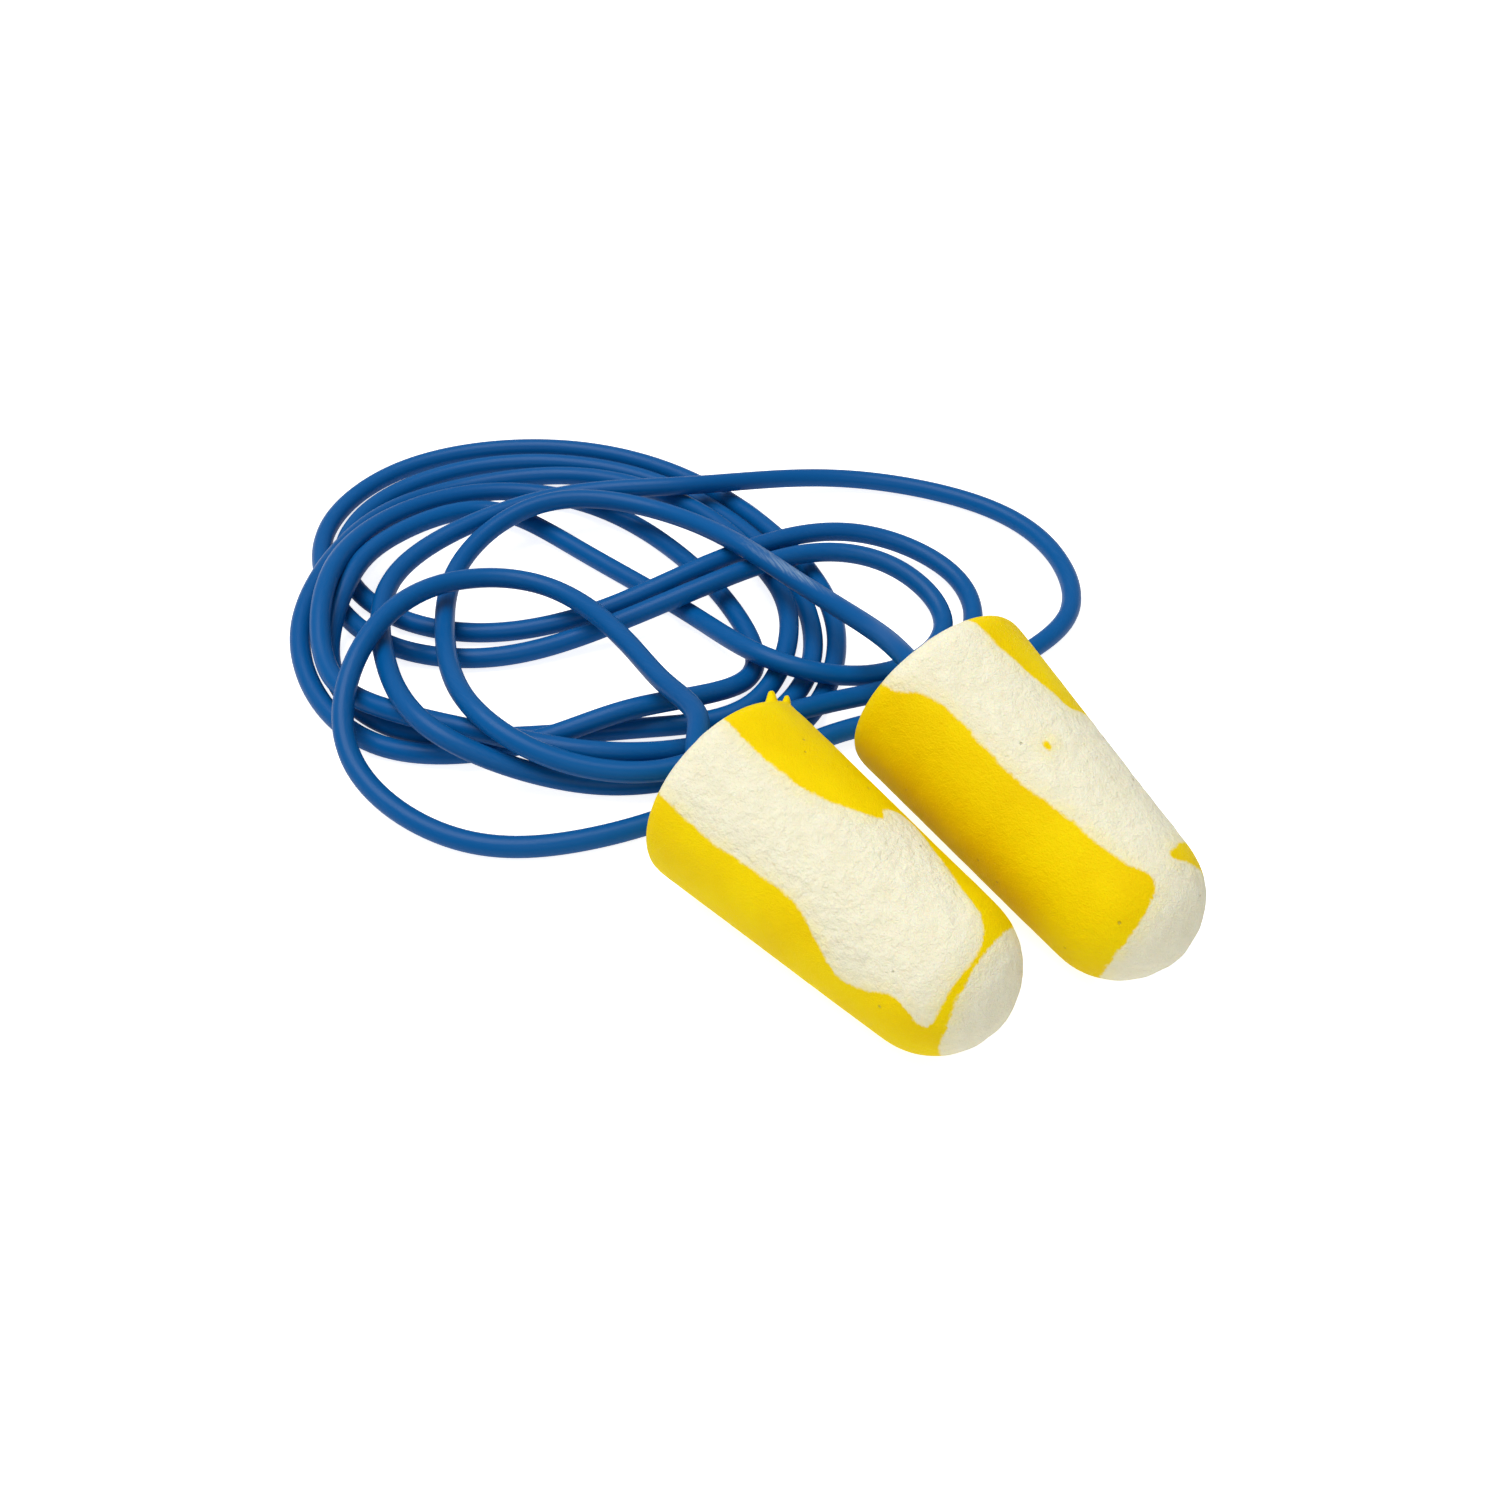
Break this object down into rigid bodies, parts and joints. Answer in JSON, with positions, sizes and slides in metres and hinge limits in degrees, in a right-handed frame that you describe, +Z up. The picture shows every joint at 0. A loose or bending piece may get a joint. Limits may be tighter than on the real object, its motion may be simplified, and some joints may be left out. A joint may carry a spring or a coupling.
{
  "type": "corded foam ear plugs",
  "caption": "Pair of soft tapered foam ear plugs, yellow and cream, joined by a long thin blue cord that lies beside them in loose coils.",
  "frame": {"origin": "on the surface that the plugs lie on, under the middle of the box that holds both plugs", "axes": "+Z up, +X to the right as the plugs are seen from their tips' side, +Y away towards the coiled cord"},
  "size_m": [0.0666, 0.0695, 0.0164],
  "materials": {
    "foam": "soft matte polyurethane foam, marbled bright yellow and cream",
    "cord_vinyl": "smooth satin blue vinyl",
    "adhesive": "cured clear-yellow adhesive"
  },
  "bodies": {
    "root": {"front_plug": "foam", "rear_plug": "foam", "front_glue_bead": "adhesive", "rear_glue_bead": "adhesive", "cord": "cord_vinyl"}
  },
  "joints": []
}
